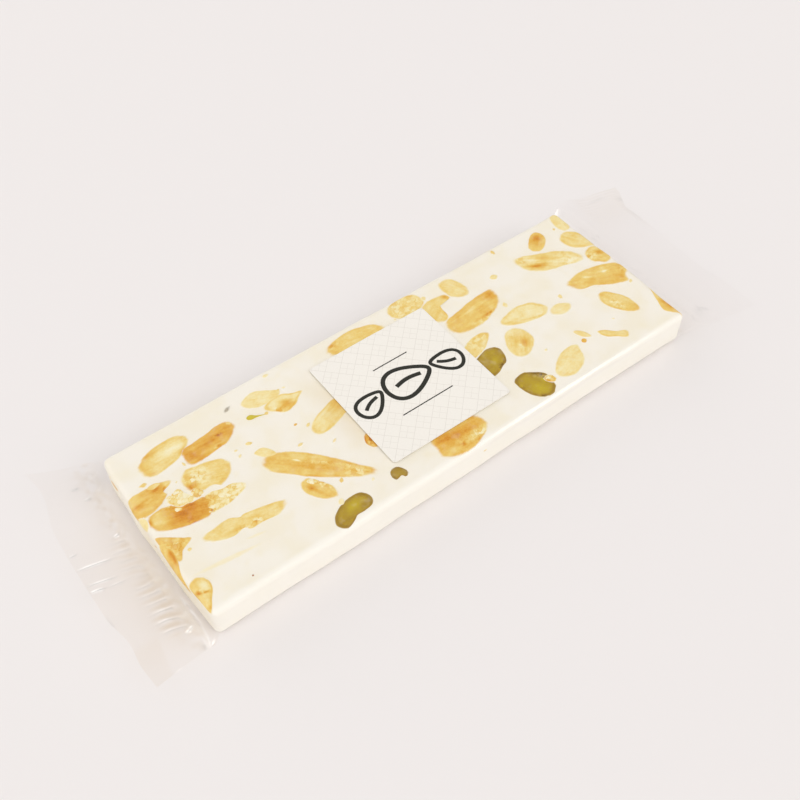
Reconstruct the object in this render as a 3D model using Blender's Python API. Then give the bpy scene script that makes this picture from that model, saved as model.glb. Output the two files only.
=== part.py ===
"""A bar of nougat sealed in a clear flow-wrap pack, with a square label on top.

Metres, +Z up, the bar's length along X. The origin is the middle of the whole
pack's bounding box, at the height of the flat underside. The pack is one closed
solid: the straight body over the bar, and at each end a gusset that closes down
to a flat crimped fin. The label is a thin plate of its own, just over the pack.
"""
from math import cos, hypot, pi, radians, sin, sqrt

import bmesh
import bpy

MM = 0.001

# The bar and the film round it
BAR_LENGTH = 150.0 * MM
BAR_WIDTH = 52.0 * MM
BAR_HEIGHT = 10.0 * MM
FILM_SLACK = 0.4 * MM          # how far the film stands off the bar in all
EDGE_RADIUS = 1.2 * MM         # rounding of the pack's long edges

# The two end fins
FIN_WIDTH = 68.0 * MM
FIN_THICKNESS = 0.8 * MM
SHORT_FIN = 18.7 * MM          # longest reach beyond the bar, at -X
LONG_FIN = 29.3 * MM           # longest reach beyond the bar, at +X
SHORT_GUSSET = 5.5 * MM
LONG_GUSSET = 12.0 * MM
LONG_TAPER = 0.11              # how much the +X fin's +Y half narrows
EAR_FLARE = 0.28               # share of an ear's width gained beyond its fold
SLOW_START = 0.15              # how gently a gusset starts to close at the bar's end
RIB_COUNT = 24                 # crimp ribs across a fin, parallel to the bar
RIB_HEIGHT = 0.3 * MM

# The label
LABEL_SIDE = 37.5 * MM
LABEL_CORNER = 1.3 * MM
LABEL_THICKNESS = 0.25 * MM
LABEL_GAP = 0.3 * MM

# Mesh density
BODY_STATIONS = 7
GUSSET_STEPS = (0.12, 0.28, 0.5, 0.75, 1.0)
SEAL_STATIONS = 5
CORNER_STEPS = 6
ROUNDING_SAMPLES = (-1.0, -0.5, 0.0, 0.5, 1.0)

# Worked out from the sizes above
PACK_HEIGHT = BAR_HEIGHT + FILM_SLACK
PACK_WIDTH = BAR_WIDTH + FILM_SLACK
MID_HEIGHT = PACK_HEIGHT / 2
EAR_WIDTH = (FIN_WIDTH - PACK_WIDTH) / 2
PACK_LENGTH = SHORT_FIN + BAR_LENGTH + LONG_FIN
BAR_START = SHORT_FIN - PACK_LENGTH / 2
BAR_END = BAR_START + BAR_LENGTH
BAR_MIDDLE = (BAR_START + BAR_END) / 2
HALF_COLUMNS = 2 * RIB_COUNT   # columns across the top, and again underneath


def clear_scene():
    for old in list(bpy.data.objects):
        bpy.data.objects.remove(old, do_unlink=True)


def make_material(name, colour, roughness):
    material = bpy.data.materials.new(name)
    material.use_nodes = True
    shader = material.node_tree.nodes["Principled BSDF"]
    shader.inputs["Base Color"].default_value = (*colour, 1.0)
    shader.inputs["Roughness"].default_value = roughness
    shader.inputs["Metallic"].default_value = 0.0
    return material


def make_object(name, shape, material):
    """Turn a bmesh into a named object with one material and outward faces."""
    bmesh.ops.recalc_face_normals(shape, faces=shape.faces)
    mesh = bpy.data.meshes.new(name)
    shape.to_mesh(mesh)
    shape.free()
    mesh.materials.append(material)
    made = bpy.data.objects.new(name, mesh)
    bpy.context.collection.objects.link(made)
    return made


def smooth_step(low, high, value):
    part = min(max((value - low) / (high - low), 0.0), 1.0)
    return part * part * (3.0 - 2.0 * part)


def bump(centre, half_width, value):
    """A smooth hill of height 1 at the centre, down to 0 at half_width away."""
    away = min(abs(value - centre) / half_width, 1.0)
    return cos(pi / 2 * away) ** 2


def short_reach(across):
    """Length of the -X fin, from across = -1 to 1: bowed, with two dips."""
    dips = 1.8 * bump(0.76, 0.3, across) + 1.0 * bump(-0.56, 0.25, across)
    return SHORT_FIN - 1.5 * MM * across ** 2 - dips * MM


def short_lift(across, out):
    """Height of the -X fin over mid-height: its +Y corner curls up."""
    curl = 5.6 * MM * smooth_step(0.15, 1.0, across)
    wave = 0.5 * MM * sin(5.5 * across + 0.8)
    return (curl + wave) * out ** 1.5


def long_reach(across):
    """Length of the +X fin: square-cut, with its +Y corner pulled out."""
    corner = smooth_step(0.6, 0.95, across)
    return LONG_FIN - 3.6 * MM * (1.0 - corner)


def long_lift(across, out):
    """Height of the +X fin over mid-height: it droops to near the table."""
    droop = -2.9 * MM + 1.3 * MM * smooth_step(0.2, 1.0, across)
    wave = 0.5 * MM * sin(6.0 * across)
    ridge = 2.2 * MM * smooth_step(0.5, 1.0, across) * bump(0.3, 0.3, out)
    return (droop + wave) * out ** 1.2 + ridge


def section_corners(closing, flare):
    """Corners of a cross-section, from the open box (0) to the flat fin (1).

    The side walls fold outward into ears as the top and the underside meet, and
    the ears flare on from 0 at the bar to 1 at the fin's outer edge.
    """
    height = PACK_HEIGHT + (FIN_THICKNESS - PACK_HEIGHT) * closing
    folded = sqrt(closing * (2.0 - closing))
    ear = EAR_WIDTH * (folded + EAR_FLARE * (flare - folded))
    half = PACK_WIDTH / 2
    top = MID_HEIGHT + height / 2
    bottom = MID_HEIGHT - height / 2
    return [
        (-half - ear, MID_HEIGHT), (-half, top), (half, top),
        (half + ear, MID_HEIGHT), (half, bottom), (-half, bottom),
    ]


def point_along(corners, distance):
    """The point a given distance round a closed outline of corners."""
    closed = corners + corners[:1]
    lengths = [hypot(b[0] - a[0], b[1] - a[1]) for a, b in zip(closed, closed[1:])]
    distance %= sum(lengths)
    for start, end, length in zip(closed, closed[1:], lengths):
        if distance <= length:
            part = distance / length if length else 0.0
            return (start[0] + (end[0] - start[0]) * part,
                    start[1] + (end[1] - start[1]) * part)
        distance -= length
    return corners[0]


def rounded_section(closing, flare):
    """Evenly spaced points round a cross-section with its corners rounded off."""
    corners = section_corners(closing, flare)
    closed = corners + corners[:1]
    around = sum(hypot(b[0] - a[0], b[1] - a[1]) for a, b in zip(closed, closed[1:]))
    points = []
    for column in range(2 * HALF_COLUMNS):
        distance = around * column / (2 * HALF_COLUMNS)
        samples = [point_along(corners, distance + EDGE_RADIUS * offset)
                   for offset in ROUNDING_SAMPLES]
        points.append((sum(y for y, z in samples) / len(samples),
                       sum(z for y, z in samples) / len(samples)))
    return points


def rib_offset(column):
    """Up on odd columns and down on even ones, and none at the fin's two sides."""
    across = column if column <= HALF_COLUMNS else 2 * HALF_COLUMNS - column
    if across in (0, HALF_COLUMNS):
        return 0.0
    return RIB_HEIGHT / 2 * (1 if across % 2 else -1)


def body_rings():
    ring = rounded_section(0.0, 0.0)
    for station in range(BODY_STATIONS):
        x = BAR_START + BAR_LENGTH * station / (BODY_STATIONS - 1)
        yield [(x, y, z) for y, z in ring]


def fin_rings(bar_edge, side, gusset, reach, lift, taper):
    """Rings from the bar's end to the fin's outer edge, on the side -1 or +1.

    taper narrows the fin's +Y half towards the outer edge.
    """
    seal_steps = [(step + 1) / SEAL_STATIONS for step in range(SEAL_STATIONS)]
    stations = [(step, 0.0) for step in GUSSET_STEPS] + [(1.0, step) for step in seal_steps]
    seal_length = reach(0.0) - gusset
    for gusset_part, seal_part in stations:
        closing = gusset_part ** 2 * (1.0 + SLOW_START) / (gusset_part + SLOW_START)
        flare = (gusset * gusset_part + seal_length * seal_part) / reach(0.0)
        ribs = smooth_step(0.0, seal_steps[0], seal_part)
        ring = []
        for column, (y, z) in enumerate(rounded_section(closing, flare)):
            across = y / (FIN_WIDTH / 2)
            length = gusset * gusset_part + (reach(across) - gusset) * seal_part
            out = length / reach(across)
            narrowed = 1.0 - taper * out ** 2 * smooth_step(0.2, 1.0, across)
            ring.append((bar_edge + side * length, y * narrowed,
                         z + lift(across, out) + ribs * rib_offset(column)))
        yield ring


def make_wrapped_bar(material):
    """Loft the sections from one fin's outer edge to the other's and cap both."""
    short_side = list(fin_rings(BAR_START, -1, SHORT_GUSSET, short_reach, short_lift, 0.0))
    long_side = list(fin_rings(BAR_END, 1, LONG_GUSSET, long_reach, long_lift, LONG_TAPER))
    rings = short_side[::-1] + list(body_rings()) + long_side
    shape = bmesh.new()
    loops = [[shape.verts.new(point) for point in ring] for ring in rings]
    count = 2 * HALF_COLUMNS
    for loop, following in zip(loops, loops[1:]):
        for column in range(count):
            after = (column + 1) % count
            shape.faces.new((loop[column], loop[after], following[after], following[column]))
    for loop in (loops[0], loops[-1]):
        for column in range(HALF_COLUMNS):
            corners = [loop[column], loop[column + 1],
                       loop[-column - 1], loop[-column % count]]
            shape.faces.new(list(dict.fromkeys(corners)))
    pack = make_object("wrapped_bar", shape, material)
    pack.data.shade_smooth()
    pack.data.set_sharp_from_angle(angle=radians(40))
    return pack


def make_label(material):
    """A square plate with rounded corners, centred on the bar."""
    inset = LABEL_SIDE / 2 - LABEL_CORNER
    base = PACK_HEIGHT + LABEL_GAP
    shape = bmesh.new()
    outline = []
    for quarter, (sx, sy) in enumerate(((1, 1), (-1, 1), (-1, -1), (1, -1))):
        for step in range(CORNER_STEPS + 1):
            angle = pi / 2 * (quarter + step / CORNER_STEPS)
            outline.append(shape.verts.new((BAR_MIDDLE + sx * inset + LABEL_CORNER * cos(angle),
                                            sy * inset + LABEL_CORNER * sin(angle), base)))
    underside = shape.faces.new(outline)
    raised = bmesh.ops.extrude_face_region(shape, geom=[underside])
    top_verts = [v for v in raised["geom"] if isinstance(v, bmesh.types.BMVert)]
    bmesh.ops.translate(shape, verts=top_verts, vec=(0.0, 0.0, LABEL_THICKNESS))
    return make_object("label", shape, material)


clear_scene()
make_wrapped_bar(make_material("nougat_in_film", (0.86, 0.79, 0.64), 0.25))
make_label(make_material("label_paper", (0.86, 0.84, 0.78), 0.45))
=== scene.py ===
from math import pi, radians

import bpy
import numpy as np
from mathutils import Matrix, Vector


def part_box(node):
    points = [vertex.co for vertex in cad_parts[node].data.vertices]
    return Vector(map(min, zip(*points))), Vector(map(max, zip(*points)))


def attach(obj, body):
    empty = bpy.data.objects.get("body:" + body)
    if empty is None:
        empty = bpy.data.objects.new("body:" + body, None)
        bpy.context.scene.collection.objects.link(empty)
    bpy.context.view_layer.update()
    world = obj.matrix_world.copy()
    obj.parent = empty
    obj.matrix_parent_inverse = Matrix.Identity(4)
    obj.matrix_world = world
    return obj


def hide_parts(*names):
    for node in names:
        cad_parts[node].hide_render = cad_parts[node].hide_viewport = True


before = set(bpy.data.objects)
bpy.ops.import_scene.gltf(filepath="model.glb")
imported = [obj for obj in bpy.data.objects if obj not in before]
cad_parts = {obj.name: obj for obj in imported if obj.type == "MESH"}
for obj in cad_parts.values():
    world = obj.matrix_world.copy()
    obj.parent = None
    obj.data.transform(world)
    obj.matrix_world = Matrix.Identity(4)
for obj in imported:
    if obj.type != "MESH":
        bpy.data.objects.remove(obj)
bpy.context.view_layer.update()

# Looks of a nougat bar sealed in clear film, with a square label on top. Shapes are
# worked out in millimetres in the bar's own frame: origin under the bar's middle, on
# the table, X along the bar, Y across it, Z up. make_piece brings them to the row
# frame in metres.

MM = 0.001

# ---- Sizes ----

label_low, label_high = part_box("label")
pack_low, pack_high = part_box("wrapped_bar")
BAR_MIDDLE = (label_low.x + label_high.x) / 2      # metres, in the row frame

BAR_LENGTH = 150.0
BAR_WIDTH = 52.0
SLAB_BOTTOM = 0.3
SLAB_TOP = 10.15
SLAB_EDGE = 1.5                # rounding of the nougat's edges
FRONT_SWELL = 1.1              # how far the -Y side swells past square
HALF_LENGTH = BAR_LENGTH / 2
HALF_WIDTH = BAR_WIDTH / 2

FILM_SLACK = 0.45              # how far the film stands off the bar in all
FILM_BOTTOM = 0.05
FILM_TOP = 10.38
FILM_EDGE = 1.9                # rounding of the film's long edges
FIN_WIDTH = (pack_high.y - pack_low.y) / MM
FIN_THICKNESS = 0.14
SHORT_FIN = (BAR_MIDDLE - pack_low.x) / MM - HALF_LENGTH
LONG_FIN = (pack_high.x - BAR_MIDDLE) / MM - HALF_LENGTH
SHORT_GUSSET = 5.5
LONG_GUSSET = 12.0
LONG_TAPER = 0.11              # how much the far fin's +Y half narrows
EAR_FLARE = 0.28               # share of an ear's width gained beyond its fold

LABEL_SIDE = (label_high.x - label_low.x) / MM
LABEL_CORNER = 0.9
LABEL_THICKNESS = 0.12
LABEL_REST = FILM_TOP + 0.03   # height of the label's underside where it sticks

# ---- Small tools ----


def smooth_step(low, high, value):
    part = np.clip((value - low) / (high - low), 0.0, 1.0)
    return part * part * (3.0 - 2.0 * part)


def hill(centre, half_width, value):
    """A smooth hill of height 1 at the centre, down to 0 at half_width away."""
    away = np.minimum(np.abs(value - centre) / half_width, 1.0)
    return np.cos(pi / 2 * away) ** 2


def wander(x, y, size, seed):
    """Smooth random heights from -1 to 1 over a plane, changing over about that size."""
    table = np.random.default_rng(seed).uniform(-1.0, 1.0, (64, 64))
    u, v = np.asarray(x, float) / size, np.asarray(y, float) / size
    column, row = np.floor(u).astype(int), np.floor(v).astype(int)
    s, t = u - column, v - row
    s, t = s * s * (3.0 - 2.0 * s), t * t * (3.0 - 2.0 * t)
    here, right = table[column % 64, row % 64], table[(column + 1) % 64, row % 64]
    above, corner = table[column % 64, (row + 1) % 64], table[(column + 1) % 64, (row + 1) % 64]
    return (here * (1 - s) + right * s) * (1 - t) + (above * (1 - s) + corner * s) * t


def srgb(red, green, blue):
    """A colour given as 0 to 255 on a screen, as the linear numbers that shaders take."""
    return [((c / 255 + 0.055) / 1.055) ** 2.4 for c in (red, green, blue)] + [1.0]


class Joined:
    """Points and faces of many small shapes, joined into one mesh."""

    def __init__(self):
        self.points, self.faces, self.values, self.count = [], [], {}, 0

    def add(self, points, faces, **values):
        self.points.append(points)
        self.faces += [[corner + self.count for corner in face] for face in faces]
        self.count += len(points)
        for name, value in values.items():
            self.values.setdefault(name, []).append(value)


def make_piece(name, points, faces, material, slot, **values):
    """A smooth-shaded mesh from points in millimetres, riding on the one body.

    values are per-point numbers or vectors that its material reads by name.
    """
    placed = np.asarray(points, float) * MM
    placed[:, 0] += BAR_MIDDLE
    mesh = bpy.data.meshes.new(name)
    mesh.from_pydata(placed.tolist(), [], faces)
    for value_name, value in values.items():
        value = np.asarray(value, float)
        kind, field = ("FLOAT", "value") if value.ndim == 1 else ("FLOAT_VECTOR", "vector")
        mesh.attributes.new(value_name, kind, "POINT").data.foreach_set(field, value.ravel())
    mesh.shade_smooth()
    mesh.materials.append(material)
    mesh.validate()
    piece = bpy.data.objects.new(name, mesh)
    bpy.context.collection.objects.link(piece)
    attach(piece, "root")
    return piece


# ---- The bar's surface ----


def end_bow(y, side):
    """How far the bar's end bows out beyond square, at the -X side or the +X side."""
    if side < 0:
        return 0.95 * (1 - (y / HALF_WIDTH) ** 2) + 0.22 * wander(y, 0.0, 7.0, 3) + 0.1
    return 0.45 * (1 - (y / HALF_WIDTH) ** 2) + 0.3 * wander(y, 0.0, 9.0, 4)


def settle(points):
    """Moves points of an ideal box-shaped bar to the real one, whose cut faces wander."""
    x, y, z = np.asarray(points, float).T
    reach = np.abs(x) - HALF_LENGTH
    at_end = smooth_step(-14.0, 0.0, reach) * (1 - smooth_step(2.0, 9.0, reach))
    bow = np.where(x < 0, -end_bow(y, -1), end_bow(y, 1)) * at_end
    at_side = smooth_step(0.6, 1.0, np.abs(y) / HALF_WIDTH) * (1 - smooth_step(0.0, 6.0, reach))
    swell = np.where(y < 0, FRONT_SWELL * (1 - 0.3 * x / HALF_LENGTH), 0.0)
    uneven = 0.16 * wander(x, z * 0.4, 11.0, 5) + 0.12 * wander(x, y, 34.0, 6)
    side = np.sign(y) * at_side * (swell + uneven)
    upper = smooth_step(0.0, SLAB_TOP, z) * (1 - smooth_step(0.0, 4.0, reach))
    top = upper * (0.09 * wander(x, y, 13.0, 7) + 0.035 * wander(x, y, 4.5, 8))
    return np.stack([x + bow, y + side, z + top], axis=-1)


def on_bar(x, y, lift, under=False):
    """Points of the bar's surface lifted off it, given where they lie on the top face.

    Spots beyond the top face's edges wrap down over them onto the bar's sides. With
    under, the same is done from the underside.
    """
    past = [np.maximum(np.abs(x) - (HALF_LENGTH - SLAB_EDGE), 0.0),
            np.maximum(np.abs(y) - (HALF_WIDTH - SLAB_EDGE), 0.0)]
    away = np.hypot(*past)
    turn = np.minimum(away / SLAB_EDGE, pi / 2)
    down = np.maximum(away - SLAB_EDGE * pi / 2, 0.0)
    outward = (SLAB_EDGE + lift) * np.sin(turn) / np.maximum(away, 1e-9)
    placed_x = np.sign(x) * (np.abs(x) - past[0] + past[0] * outward)
    placed_y = np.sign(y) * (np.abs(y) - past[1] + past[1] * outward)
    drop = SLAB_EDGE - (SLAB_EDGE + lift) * np.cos(turn) + down
    z = SLAB_BOTTOM + drop if under else SLAB_TOP - drop
    return settle(np.stack([placed_x, placed_y, z], axis=-1))


# ---- Materials ----


class Nodes:
    """Adds shader nodes to a new material or world. Inputs are numbers, colours or sockets."""

    def __init__(self, owner):
        owner.use_nodes = True
        self.owner, self.tree = owner, owner.node_tree
        self.tree.nodes.clear()

    def add(self, kind, inputs=(), **settings):
        made = self.tree.nodes.new("ShaderNode" + kind)
        for name, value in settings.items():
            setattr(made, name, value)
        for name, value in dict(inputs).items():
            if isinstance(value, bpy.types.NodeSocket):
                self.tree.links.new(value, made.inputs[name])
            else:
                made.inputs[name].default_value = value
        return made

    def place(self):
        """Where a point lies, in metres in the row frame."""
        return self.add("TexCoord").outputs["Object"]

    def value(self, name, kind="Fac"):
        return self.add("Attribute", attribute_name=name).outputs[kind]

    def noise(self, where, size, detail=2.0, roughness=0.5, stretch=(1.0, 1.0, 1.0)):
        """Noise from about 0.25 to 0.75 whose lumps are about the given size."""
        scaled = self.add("Mapping", {"Vector": where, "Scale": stretch})
        return self.add("TexNoise", {"Vector": scaled.outputs[0], "Scale": 1.0 / size,
                                     "Detail": detail, "Roughness": roughness}).outputs["Fac"]

    def maths(self, operation, *numbers, clamp=False):
        made = self.add("Math", dict(enumerate(numbers)), operation=operation, use_clamp=clamp)
        return made.outputs[0]

    def span(self, value, low, high, to_low=0.0, to_high=1.0):
        """The value's part between low and high, smoothed, on a new scale."""
        made = self.add("MapRange", {"Value": value, "From Min": low, "From Max": high,
                                     "To Min": to_low, "To Max": to_high},
                        interpolation_type="SMOOTHSTEP")
        return made.outputs[0]

    def blend(self, share, first, second):
        made = self.add("Mix", data_type="RGBA")
        for socket, value in zip((0, 6, 7), (share, first, second)):
            if isinstance(value, bpy.types.NodeSocket):
                self.tree.links.new(value, made.inputs[socket])
            else:
                made.inputs[socket].default_value = value
        return made.outputs[2]

    def ramp(self, value, stops):
        """A colour scale from (position, colour) stops."""
        made = self.add("ValToRGB", {"Fac": value})
        scale = made.color_ramp.elements
        for position, colour in stops[1:-1]:
            scale.new(position).color = colour
        scale[0].position, scale[0].color = stops[0]
        scale[len(stops) - 1].position, scale[len(stops) - 1].color = stops[-1]
        return made.outputs[0]

    def bump(self, height, distance, strength=1.0):
        return self.add("Bump", {"Height": height, "Distance": distance,
                                 "Strength": strength}).outputs[0]

    def finish(self, shader, output="OutputMaterial"):
        self.tree.links.new(shader.outputs[0], self.add(output).inputs["Surface"])
        return self.owner


def new_look(name):
    return Nodes(bpy.data.materials.new(name))


CREAM = srgb(244, 237, 218)
CREAM_WARM = srgb(243, 234, 206)
CREAM_WHITE = srgb(246, 241, 229)
# a paler cream painted on the long sides as a painted sheen
SIDE_CREAM_PAINTED_SHEEN = srgb(250, 247, 238)
PORE = srgb(226, 208, 172)


def cream_colour(nodes, where):
    """The nougat's cream: faint warm and white clouds, fine pores and thin streaks."""
    clouds = nodes.noise(where, 9 * MM, 3.0)
    cream = nodes.blend(nodes.span(clouds, 0.35, 0.7), CREAM_WHITE, CREAM)
    warm = nodes.span(nodes.noise(where, 3.5 * MM, 3.0), 0.5, 0.8, 0.0, 0.35)
    cream = nodes.blend(warm, cream, CREAM_WARM)
    pores = nodes.add("TexVoronoi", {"Vector": where, "Scale": 1 / (1.1 * MM)})
    pits = nodes.span(pores.outputs["Distance"], 0.05, 0.16, 1.0, 0.0)
    sparse = nodes.span(nodes.noise(where, 2.3 * MM, 1.0), 0.55, 0.62, 0.0, 0.4)
    return nodes.blend(nodes.maths("MULTIPLY", pits, sparse), cream, PORE)


def cream_relief(nodes, where):
    """Height of the cut nougat's fine grain."""
    grain = nodes.noise(where, 0.6 * MM, 3.0, 0.6)
    drag = nodes.noise(where, 5 * MM, 2.0, 0.5, (0.25, 1.0, 1.0))
    return nodes.maths("ADD", grain, nodes.maths("MULTIPLY", drag, 2.0))


def nougat_material():
    """Cream on the cut top, and whiter on the long sides, where the whiter cream is a painted sheen."""
    nodes = new_look("nougat")
    where = nodes.place()
    across = nodes.maths("ABSOLUTE", nodes.add("SeparateXYZ", {"Vector": where}).outputs["Y"])
    # Painted sheen: the long sides are painted whiter than the top, for the pale reflection they show.
    side = nodes.span(across, (HALF_WIDTH - 1.2) * MM, (HALF_WIDTH + 0.2) * MM, 0.0, 0.75)
    cream = nodes.blend(side, cream_colour(nodes, where), SIDE_CREAM_PAINTED_SHEEN)
    surface = nodes.add("BsdfPrincipled", {
        "Base Color": cream,
        "Roughness": nodes.span(nodes.noise(where, 4 * MM), 0.3, 0.7, 0.42, 0.6),
        "Normal": nodes.bump(cream_relief(nodes, where), 0.06 * MM, 0.5),
        "Specular IOR Level": 0.35})
    return nodes.finish(surface)


def nut_material(name, stops, streak, grit):
    """A nut in the nougat, read from its mesh's values: tone, veil, crumb and grain.

    stops colour it by tone, streak and grit say how strongly the tone varies along
    the kernel's fibres and in its crumbly parts.
    """
    nodes = new_look(name)
    where = nodes.place()
    fibres = nodes.noise(nodes.value("grain", "Vector"), 0.9, 3.0, 0.55, (0.22, 1.0, 1.0))
    fibres = nodes.maths("MULTIPLY", nodes.maths("SUBTRACT", fibres, 0.5), streak)
    grains = nodes.maths("SUBTRACT", nodes.noise(where, 0.55 * MM, 3.0, 0.6), 0.5)
    crumb = nodes.value("crumb")
    bent = nodes.add("VectorMath", {0: where}, operation="ADD")
    nodes.tree.links.new(nodes.maths("MULTIPLY", grains, 1.2 * MM), bent.inputs[1])
    cells = nodes.add("TexVoronoi", {"Vector": bent.outputs[0], "Scale": 1 / (1.2 * MM)})
    chosen = nodes.add("SeparateColor", {"Color": cells.outputs["Color"]}).outputs[0]
    broken = nodes.maths("MULTIPLY", nodes.maths("SUBTRACT", chosen, 0.62), grit)
    mottle = nodes.maths("SUBTRACT", nodes.noise(where, 1.8 * MM, 3.0, 0.6), 0.5)
    seams = nodes.add("TexVoronoi", {"Vector": bent.outputs[0], "Scale": 1 / (1.2 * MM)},
                      feature="DISTANCE_TO_EDGE")
    seam = nodes.span(seams.outputs["Distance"], 0.0, 0.14, 0.2, 0.0)
    tone = nodes.maths("ADD", nodes.value("tone"), fibres)
    tone = nodes.maths("MULTIPLY_ADD", nodes.maths("ADD", broken, seam), crumb, tone)
    tone = nodes.maths("MULTIPLY_ADD", mottle, 0.3, tone)
    tone = nodes.maths("MULTIPLY_ADD", grains, 0.2, tone, clamp=True)
    kernel = nodes.ramp(tone, stops)
    haze = nodes.span(nodes.noise(where, 2.2 * MM, 2.0), 0.5, 0.8, 0.0, 0.15)
    edge = nodes.maths("MULTIPLY_ADD", grains, 0.4, nodes.value("veil"))
    veil = nodes.maths("MAXIMUM", nodes.span(edge, 0.15, 0.9), haze)
    colour = nodes.blend(veil, kernel, cream_colour(nodes, where))
    relief = nodes.maths("MULTIPLY_ADD", crumb, chosen, cream_relief(nodes, where))
    surface = nodes.add("BsdfPrincipled", {
        "Base Color": colour,
        "Roughness": nodes.span(grains, -0.2, 0.2, 0.32, 0.55),
        "Normal": nodes.bump(relief, 0.12 * MM, 0.5),
        "Specular IOR Level": 0.4})
    return nodes.finish(surface)


FILM_MIRROR = 0.008            # share that both faces of the film mirror, seen straight on
GRAZING_MIRROR = 0.18          # what is added to it where the film is seen edge on
CREASE_MIRROR = 0.4            # and where it is sharply creased


def film_material():
    """Clear film: nearly all see-through, with a mirror share that grows at a slant.

    It is warmer and duller where its fold value is high: where the film lies doubled, and also
    where painted shade and a painted warm reflection of the nougat are laid into its tint. It
    catches the light where its crease value says that it is sharply bent.
    """
    nodes = new_look("film")
    waves = nodes.noise(nodes.place(), 3 * MM, 2.0)
    shine = nodes.add("BsdfGlossy", {"Color": (1, 1, 1, 1), "Roughness": 0.12,
                                     "Normal": nodes.bump(waves, 0.05 * MM, 0.4)})
    # Painted shade: the fold value darkens and warms the film's see-through tint, for doubled film and also
    # for painted shade and a painted warm reflection.
    tint = nodes.blend(nodes.value("fold"), (1.0, 0.998, 0.997, 1.0), (0.962, 0.932, 0.888, 1.0))
    clear = nodes.add("BsdfTransparent", {"Color": tint})
    slant = nodes.add("LayerWeight", {"Blend": 0.5}).outputs["Facing"]
    grazing = nodes.maths("POWER", slant, 5.0)
    share = nodes.maths("MULTIPLY_ADD", grazing, GRAZING_MIRROR, FILM_MIRROR)
    share = nodes.maths("MULTIPLY_ADD", nodes.value("crease"), CREASE_MIRROR, share, clamp=True)
    mixed = nodes.add("MixShader", {"Fac": share})
    nodes.tree.links.new(clear.outputs[0], mixed.inputs[1])
    nodes.tree.links.new(shine.outputs[0], mixed.inputs[2])
    return nodes.finish(mixed)


PAPER = srgb(245, 241, 233)
LATTICE_LINE = srgb(204, 197, 186)
LATTICE_PITCH = 5.2
LATTICE_WIDTH = 0.14


def paper_material():
    """Off-white label paper with a diamond lattice in fine pale lines.

    Every other diamond is quartered by a cross.
    """
    nodes = new_look("label_paper")
    where = nodes.place()
    axes = nodes.add("SeparateXYZ", {"Vector": where})
    along = nodes.maths("SUBTRACT", axes.outputs["X"], BAR_MIDDLE)
    lines, crosses, cells = [], [], []
    for slope in (1.0, -1.0):
        slant = nodes.maths("MULTIPLY_ADD", axes.outputs["Y"], slope, along)
        nearest = nodes.maths("PINGPONG", slant, LATTICE_PITCH / 2 * MM)
        lines.append(nodes.maths("LESS_THAN", nearest, LATTICE_WIDTH / 2 * MM))
        crosses.append(nodes.maths("GREATER_THAN", nearest, (LATTICE_PITCH - LATTICE_WIDTH) / 2 * MM))
        cells.append(nodes.maths("FLOOR", nodes.maths("DIVIDE", slant, LATTICE_PITCH * MM)))
    odd = nodes.maths("PINGPONG", nodes.maths("ADD", *cells), 1.0)
    cross = nodes.maths("MULTIPLY", nodes.maths("MAXIMUM", *crosses), odd)
    line = nodes.maths("MAXIMUM", nodes.maths("MAXIMUM", *lines), nodes.maths("MULTIPLY", cross, 0.7))
    fibres = nodes.noise(where, 0.5 * MM, 3.0)
    paper = nodes.blend(nodes.span(fibres, 0.3, 0.7, 0.0, 0.35), PAPER, srgb(240, 235, 226))
    surface = nodes.add("BsdfPrincipled", {
        "Base Color": nodes.blend(nodes.maths("MULTIPLY", line, 0.5), paper, LATTICE_LINE),
        "Roughness": 0.5,
        "Normal": nodes.bump(fibres, 0.02 * MM, 0.4),
        "Specular IOR Level": 0.3})
    return nodes.finish(surface)


def ink_material():
    nodes = new_look("label_ink")
    patches = nodes.noise(nodes.place(), 0.7 * MM, 2.0)
    surface = nodes.add("BsdfPrincipled", {
        "Base Color": nodes.blend(patches, srgb(36, 36, 30), srgb(46, 46, 38)),
        "Roughness": 0.55,
        "Specular IOR Level": 0.35})
    return nodes.finish(surface)


# ---- The nougat slab ----

SLAB_STEP = 0.8
EDGE_LINES = (0.0, 0.25, 0.55, 0.85, 1.2, 1.6)


def grid_lines(half):
    """Grid lines from -half to half, close together near both ends."""
    inner = half - 2.1
    middle = np.linspace(-inner, inner, round(2 * inner / SLAB_STEP) + 1)
    edge = half - np.array(EDGE_LINES)
    return np.concatenate([-edge, middle, edge[::-1]])


def box_grid(x_lines, y_lines, z_lines):
    """Points and faces of a box whose six sides are gridded along the given lines."""
    index, points, faces = {}, [], []

    def corner(x, y, z):
        key = (x, y, z)
        if key not in index:
            index[key] = len(points)
            points.append((x_lines[x], y_lines[y], z_lines[z]))
        return index[key]

    sizes = (len(x_lines) - 1, len(y_lines) - 1, len(z_lines) - 1)
    for axis in range(3):
        first, second = [a for a in range(3) if a != axis]
        for level in (0, sizes[axis]):
            for i in range(sizes[first]):
                for j in range(sizes[second]):
                    face = []
                    for step_i, step_j in ((0, 0), (1, 0), (1, 1), (0, 1)):
                        place = [0, 0, 0]
                        place[axis], place[first], place[second] = level, i + step_i, j + step_j
                        face.append(corner(*place))
                    if (level == 0) == (axis != 1):
                        face.reverse()
                    faces.append(face)
    return np.array(points), faces


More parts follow.
